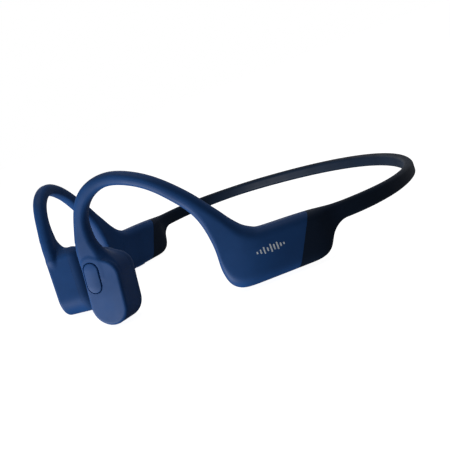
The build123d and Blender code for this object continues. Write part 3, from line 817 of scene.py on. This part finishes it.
def winding(name, colour):
    """Enamelled copper wire in tight turns."""
    look = Look(name, colour, 0.32, Metallic=1.0, Coat_Weight=0.4)
    turns = look.texture("Wave", 1900, Distortion=0.4, bands_direction="Y")
    shade = look.ramp(turns, tuple(c * 0.45 for c in colour), colour, 0.1, 0.6)
    look.links.new(shade, look.shader.inputs["Base Color"])
    look.bump(turns, 0.05, 0.8)
    return look.material


def board(name, mask, copper):
    """Solder mask over copper tracks, with bright pads."""
    look = Look(name, mask, 0.35, Specular_IOR_Level=0.5)
    tracks = look.texture("Brick", 420, offset=0.37, squash=0.6)
    node = tracks.node
    node.inputs["Color1"].default_value = (*mask, 1)
    node.inputs["Color2"].default_value = (*[c * 1.7 for c in mask], 1)
    node.inputs["Mortar"].default_value = (*copper, 1)
    node.inputs["Mortar Size"].default_value = 0.035
    look.links.new(tracks, look.shader.inputs["Base Color"])
    look.bump(look.texture("Voronoi", 900), 0.02, 0.3)
    return look.material


def foil(name):
    """Crinkled aluminium laminate pouch."""
    look = Look(name, (0.62, 0.63, 0.66), 0.34, Metallic=0.9)
    look.vary_roughness(300, 0.25, 0.45)
    look.vary_colour(180, 0.08)
    look.bump(look.texture("Voronoi", 420, feature="SMOOTH_F1"), 0.12, 0.5)
    look.bump(look.texture("Noise", 1500, Detail=3.0), 0.02, 0.4)
    return look.material


def package(name, colour):
    """Moulded chip package: matt resin with a fine speckle and faint mould waves."""
    look = Look(name, colour, 0.6, Specular_IOR_Level=0.45)
    look.links.new(
        look.ramp(look.texture("Voronoi", 1400), tuple(c * 2.2 for c in colour), colour, 0.05, 0.5),
        look.shader.inputs["Base Color"],
    )
    look.bump(look.texture("Noise", 4000, Detail=2.0), 0.012, 0.6)
    return look.material


BLUE = (0.0115, 0.058, 0.195)
NAVY = (0.0038, 0.0125, 0.0310)

looks = {
    "band_rubber": silicone("band_silicone", NAVY, 0.52, 0.010),
    "boot_rubber": silicone("boot_silicone", (0.0042, 0.0130, 0.0340), 0.58, 0.012),
    "hook_rubber": silicone("hook_silicone", BLUE, 0.54, 0.010),
    "case_plastic": silicone("soft_touch_blue", BLUE, 0.52, 0.010),
    "pad_rubber": silicone("pad_silicone", (0.0122, 0.053, 0.172), 0.62, 0.014),
    "button_plastic": silicone("button_soft_touch", (0.0120, 0.060, 0.200), 0.50, 0.008),
    "seal_rubber": silicone("seal_foam", (0.02, 0.02, 0.021), 0.85, 0.05),
    "spring_wire": metal("titanium_wire", (0.55, 0.53, 0.50), 0.34, 2600),
    "cable_jacket": moulded("cable_jacket", (0.03, 0.03, 0.032), 0.5, 0.35),
    "yoke_steel": metal("plated_steel", (0.52, 0.52, 0.54), 0.3, 1800),
    "magnet_nickel": metal("bright_nickel", (0.66, 0.63, 0.60), 0.16, 900, 0.002),
    "coil_copper": winding("copper_winding", (0.72, 0.30, 0.12)),
    "carrier_plastic": moulded("black_carrier", (0.035, 0.035, 0.038), 0.5),
    "spring_steel": metal("spring_steel", (0.60, 0.60, 0.58), 0.25, 3200),
    "battery_foil": foil("battery_foil"),
    "circuit_board": board("circuit_board", (0.012, 0.11, 0.045), (0.20, 0.24, 0.08)),
    "chip_resin": package("chip_resin", (0.016, 0.016, 0.018)),
    "port_plastic": moulded("port_plastic", (0.012, 0.012, 0.014), 0.38, 0.5),
    "gold_contact": metal("gold_plating", (0.83, 0.58, 0.22), 0.22, 2400, 0.002),
    "lens_plastic": moulded("lens_plastic", (0.72, 0.74, 0.76), 0.2, 0.6, 5200),
    "mark": moulded("printed_mark", (0.62, 0.68, 0.74), 0.5, 0.3, 6000),
}


def dress(piece, slot, look=None):
    """Give a piece the material of its slot, or of the look named instead."""
    piece.data.materials.clear()
    piece.data.materials.append(looks[look or slot])
    return piece


# ---------------------------------------------------------------- camera first
def make_camera():
    """Camera at the wearer's front left, a little above, looking across to the right."""
    yaw, pitch, roll = math.radians(65.19), math.radians(8.89), math.radians(-20.59)
    ahead = Vector((-math.sin(yaw) * math.cos(pitch), math.cos(yaw) * math.cos(pitch), -math.sin(pitch)))
    level = Vector((math.cos(yaw), math.sin(yaw), 0))
    upright = level.cross(ahead)
    right = level * math.cos(roll) + upright * math.sin(roll)
    up = upright * math.cos(roll) - level * math.sin(roll)
    camera = bpy.data.objects.new("camera", bpy.data.cameras.new("camera"))
    place = Matrix((right, up, -ahead)).transposed().to_4x4()
    place.translation = Vector((280.31, BACK_Y - 187.89, BAND_Z + 46.99)) * MM
    camera.matrix_world = place
    camera.data.sensor_width, camera.data.lens = 36.0, 73.16
    camera.data.clip_start, camera.data.clip_end = 0.01, 20.0
    bpy.context.scene.collection.objects.link(camera)
    bpy.context.scene.camera = camera


make_camera()

# ---------------------------------------------------------------- neckband pieces
SIDES = {"left": 1, "right": -1}
BAND_COLUMNS = COLUMNS[np.append(np.diff(COLUMNS) > 0.02, True)]
band_across, band_up = ring(BAND_COLUMNS, [BAND_THICKNESS], [BAND_HEIGHT], [BAND_ROUND])
band_outline = np.stack([band_across[0], band_up[0]], -1)
wire_turns = np.linspace(0, 2 * math.pi, 20, endpoint=False)
wire_outline = WIRE_RADIUS * np.stack([np.cos(wire_turns), np.sin(wire_turns)], -1)


def pair(stem):
    return [stem + "_left", stem + "_right"]


dress(make_band("neckband_sleeve", pair("neckband_sleeve"), band_outline, 0, SLEEVE_WALL), "band_rubber")
dress(make_band("neckband_wire", pair("neckband_wire"), wire_outline, WIRE_PITCH), "spring_wire")
dress(make_band("neckband_cable", pair("neckband_cable"), wire_outline, -WIRE_PITCH), "cable_jacket")

# ---------------------------------------------------------------- boots, pods and hooks
PIECES = {
    "boot": ({"left": "rear_boot_left", "right": "rear_boot_right"}, "boot_rubber"),
    "case": ({"left": "battery_pod_case", "right": "control_pod_case"}, "case_plastic"),
    "lid": ({"left": "battery_pod_cover", "right": "control_pod_cover"}, "case_plastic"),
    "hook": ({"left": "ear_hook_left", "right": "ear_hook_right"}, "hook_rubber"),
}
arm = {}
shells = arm_shells()
for part, (nodes, slot) in PIECES.items():
    for side, hand in SIDES.items():
        node = nodes[side]
        points, faces, normals = both_hands(shells[part], hand)
        piece = make_piece(node + "_skin", points, faces, side + "_half", normals)
        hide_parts(node)
        arm[node] = dress(piece, slot)


def under_pod(u, z, shape):
    """A shape set under the right pod, as points and faces."""
    points, faces = shape
    return mirrored(moved(points, floor_frame(u, z)), faces)


def pocket(length, width, depth, chamfer=0.18):
    """Cutter for a pill-shaped hole with a broken edge; its level 0 is the surface."""
    levels = [(-depth, 0.0), (-chamfer, 0.0), (chamfer, -2 * chamfer), (1.0, -2 * chamfer)]
    return pill_stack(length, width, levels)


def turned(shape):
    """A pill along x instead of y."""
    points, faces = shape
    return np.asarray(points)[:, [1, 0, 2]] * (1, -1, 1), faces


def disc(radius, depth):
    """Cutter for a small round hole with a broken edge."""
    return pocket(2 * radius + 1e-3, 2 * radius, depth, 0.08)


hole_length, hole_width = VOLUME_LENGTH + 2 * BUTTON_GAP, VOLUME_WIDTH + 2 * BUTTON_GAP
for button, button_u in VOLUME_U.items():
    hole = turned(pocket(hole_length, hole_width, 2.2, 0.12))
    cut(arm["control_pod_case"], *under_pod(button_u, POD_BOTTOM, hole))
cut(arm["control_pod_case"], *under_pod(LED_U, POD_BOTTOM, disc(LED_RADIUS, 2.2)))
port_hole = turned(pocket(PORT_LENGTH, PORT_WIDTH, 2.2, 0.15))
cut(arm["rear_boot_right"], *under_pod(PORT_U, POD_BOTTOM, port_hole))
mic_hole = disc(MIC_HOLE, 2.4)
mic_place = frame_at(MIC_U, MIC_Z, 4.14)
cut(arm["control_pod_case"], *mirrored(moved(mic_hole[0], mic_place), mic_hole[1]))


def volume_button(node, button_u):
    """Pill button with a crowned top and a raised plus or minus."""
    levels = crown_levels(-VOLUME_TALL, VOLUME_PROUD, 0.35, 0.12, VOLUME_WIDTH / 2)
    points, faces = under_pod(button_u, POD_BOTTOM, turned(pill_stack(VOLUME_LENGTH, VOLUME_WIDTH, levels)))
    cap = make_piece(node + "_cap", points, faces, node)
    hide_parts(node)
    dress(cap, "button_plastic")
    bars = [False, True] if node == "volume_up_button" else [False]
    bar_levels = [(VOLUME_PROUD - 0.3, 0), (VOLUME_PROUD + 0.05, 0), (VOLUME_PROUD + 0.1, 0.06)]
    for index, upright in enumerate(bars):
        bar = pill_stack(BAR_LENGTH, BAR_WIDTH, bar_levels)
        bar = bar if upright else turned(bar)
        points, faces = under_pod(button_u, POD_BOTTOM, bar)
        dress(make_piece(f"{node}_bar_{index + 1}", points, faces, node), "button_plastic")


for button, button_u in VOLUME_U.items():
    volume_button(button, button_u)

# ---------------------------------------------------------------- transducers
skin = transducer_skin()
neck_stations = spline(STATIONS, np.array([float(NECK_ROW)]))[0]
neck_top = on_arm(neck_stations[0], neck_stations[1])
neck_bottom = on_arm(neck_stations[2], neck_stations[3])
to_face = FACE.inverted()
neck_place = to_face @ Vector((neck_top + neck_bottom) / 2)
neck_line = (to_face.to_3x3() @ Vector(neck_top - neck_bottom)).normalized()
neck_normal = Vector((0, 0, 1)).cross(neck_line)
if neck_normal.y < 0:
    neck_normal.negate()
case_shape = trim(*skin, [(neck_place, neck_normal), ((0, 0, CASE_INNER + SEAM_HALF), (0, 0, -1))])
case_shape = hollow(case_shape, cavity([(CASE_INNER - 1, CASE_WALL), (FACE_OUT - FACE_WALL, CASE_WALL)]))
pad_shape = trim(*skin, [((0, 0, CASE_INNER - SEAM_HALF), (0, 0, 1))])
pad_floor = PAD_INNER + PAD_FLOOR
pad_levels = [
    (pad_floor, PAD_WALL + PAD_COVE),
    (pad_floor + PAD_COVE_RISE, PAD_WALL),
    (CASE_INNER + PAD_MOUTH, PAD_WALL),
]
pad_shape = hollow(pad_shape, cavity(pad_levels))

for side, hand in SIDES.items():
    for stem, shape, slot in (
        ("transducer_case", case_shape, "case_plastic"),
        ("contact_pad", pad_shape, "pad_rubber"),
    ):
        points, faces = moved(shape[0], FACE), shape[1]
        if hand < 0:
            points, faces = mirrored(points, faces)
        node = f"{stem}_{side}"
        piece = make_piece(node + "_skin", points, faces, side + "_half")
        piece.data.set_sharp_from_angle(angle=math.radians(40))
        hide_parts(node)
        arm[node] = dress(piece, slot)

button_place = FACE @ Matrix.Translation((BUTTON_X, BUTTON_Y, FACE_OUT))
hole = pocket(BUTTON_LENGTH + 2 * BUTTON_GAP, BUTTON_WIDTH + 2 * BUTTON_GAP, 2.4, 0.14)
cut(arm["transducer_case_left"], moved(hole[0], button_place), hole[1])
button_levels = crown_levels(-1.4, BUTTON_PROUD, 0.35, 0.14, BUTTON_WIDTH / 2)
button_shape = pill_stack(BUTTON_LENGTH, BUTTON_WIDTH, button_levels)
button_points = moved(button_shape[0], button_place)
button_cap = make_piece("multifunction_button_cap", button_points, button_shape[1], "multifunction_button")
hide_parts("multifunction_button")
dress(button_cap, "button_plastic")


# ---------------------------------------------------------------- generic mark on the left pod
def level_mark():
    """Row of upright bars of uneven height, printed on the outer wall of the left pod."""
    heights = [0.7, 1.3, 2.0, 1.2, 2.4, 1.6, 2.2, 1.1, 0.7]
    pitch, width, lift = 0.95, 0.42, 0.03
    mesh = arm["battery_pod_case"].data
    tree = BVHTree.FromPolygons([v.co / MM for v in mesh.vertices], [p.vertices[:] for p in mesh.polygons])
    all_points, all_faces = [], []
    for index, height in enumerate(heights):
        bar_u = 123.1 - index * pitch
        place = frame_at(bar_u, -2.2, 8.0)
        points, faces = pill_stack(height, width, [(0.0, 0.0), (0.5, 0.0)])
        inward = -Vector(place.col[2][:3])
        low = []
        for point in moved(points, place):
            hit = tree.ray_cast(Vector(point), inward)[0]
            low.append(Vector(point) + inward * 4.0 if hit is None else hit)
        count = len(low) // 2
        points = np.array([spot + inward * (0.15 if n < count else -lift) for n, spot in enumerate(low)])
        all_faces += [tuple(i + len(all_points) for i in face) for face in faces]
        all_points += points.tolist()
    mark = make_piece("battery_pod_mark", all_points, all_faces, "left_half")
    dress(mark, "case_plastic", "mark")


level_mark()

# ---------------------------------------------------------------- finishes of the CAD pieces that stay
slots = {row["node"]: row["material_slot"] for row in frame["record"]["subparts"]}
for name, node in frame["nodes"].items():
    if not node.hide_render:
        node.data.materials.clear()
        node.data.materials.append(looks[slots[name]])


# ---------------------------------------------------------------- floor, world and lights
def make_floor():
    """Pale floor: bright to the camera, a soft bounce to the object, and a faint contact shadow."""
    size = 4000.0
    corners = [(-size, -size, 0), (size, -size, 0), (size, size, 0), (-size, size, 0)]
    floor = make_piece("floor", corners, [(0, 1, 2, 3)])
    floor.location.z = -0.02 * MM
    material = bpy.data.materials.new("floor")
    material.use_nodes = True
    nodes, links = material.node_tree.nodes, material.node_tree.links
    shader = nodes["Principled BSDF"]
    shader.inputs["Base Color"].default_value = (0.42, 0.42, 0.43, 1)
    shader.inputs["Roughness"].default_value = 0.9
    shader.inputs["Specular IOR Level"].default_value = 0.1
    glow = nodes.new("ShaderNodeEmission")
    glow.inputs["Color"].default_value = (1, 1, 1, 1)
    light_path = nodes.new("ShaderNodeLightPath")
    strength = nodes.new("ShaderNodeMapRange")
    strength.inputs["To Min"].default_value = FLOOR_BOUNCE
    strength.inputs["To Max"].default_value = FLOOR_SHOWN
    links.new(light_path.outputs["Is Camera Ray"], strength.inputs["Value"])
    links.new(strength.outputs["Result"], glow.inputs["Strength"])
    both = nodes.new("ShaderNodeAddShader")
    links.new(shader.outputs[0], both.inputs[0])
    links.new(glow.outputs[0], both.inputs[1])
    links.new(both.outputs[0], nodes["Material Output"].inputs["Surface"])
    floor.data.materials.append(material)
    floor.visible_shadow = False


def make_world():
    """White to the camera, softer in reflections, dim as a light."""
    world = bpy.data.worlds.new("studio")
    bpy.context.scene.world = world
    world.use_nodes = True
    nodes, links = world.node_tree.nodes, world.node_tree.links
    background = nodes["Background"]
    background.inputs["Color"].default_value = (1, 1, 1, 1)
    light_path = nodes.new("ShaderNodeLightPath")
    reflected = nodes.new("ShaderNodeMapRange")
    reflected.inputs["To Min"].default_value = WORLD_DIFFUSE
    reflected.inputs["To Max"].default_value = WORLD_GLOSSY
    links.new(light_path.outputs["Is Glossy Ray"], reflected.inputs["Value"])
    shown = nodes.new("ShaderNodeMix")
    links.new(light_path.outputs["Is Camera Ray"], shown.inputs[0])
    links.new(reflected.outputs["Result"], shown.inputs[2])
    shown.inputs[3].default_value = 1.0
    links.new(shown.outputs[0], background.inputs["Strength"])


def softbox(name, place, target, width, height, power):
    """Rectangular area light aimed at a point."""
    lamp = bpy.data.lights.new(name, "AREA")
    lamp.shape, lamp.size, lamp.size_y, lamp.energy = "RECTANGLE", width * MM, height * MM, power
    holder = bpy.data.objects.new(name, lamp)
    place, target = Vector(place) * MM, Vector(target) * MM
    aim = (target - place).to_track_quat("-Z", "Y")
    holder.matrix_world = Matrix.Translation(place) @ aim.to_matrix().to_4x4()
    bpy.context.scene.collection.objects.link(holder)


FLOOR_SHOWN, FLOOR_BOUNCE = 0.96, 0.06
WORLD_DIFFUSE, WORLD_GLOSSY = 0.095, 0.26
make_floor()
make_world()
softbox("key", (-70, -490, -190), (10, -20, 18), 360, 200, 3.3)
softbox("side_fill", (-520, 120, 260), (0, 0, 15), 400, 400, 0.22)
softbox("back_fill", (-120, 620, 380), (0, 20, 15), 420, 420, 0.15)
softbox("top_fill", (-40, -100, 600), (0, 0, 15), 420, 420, 1.1)
bpy.context.scene.view_settings.view_transform = "Standard"
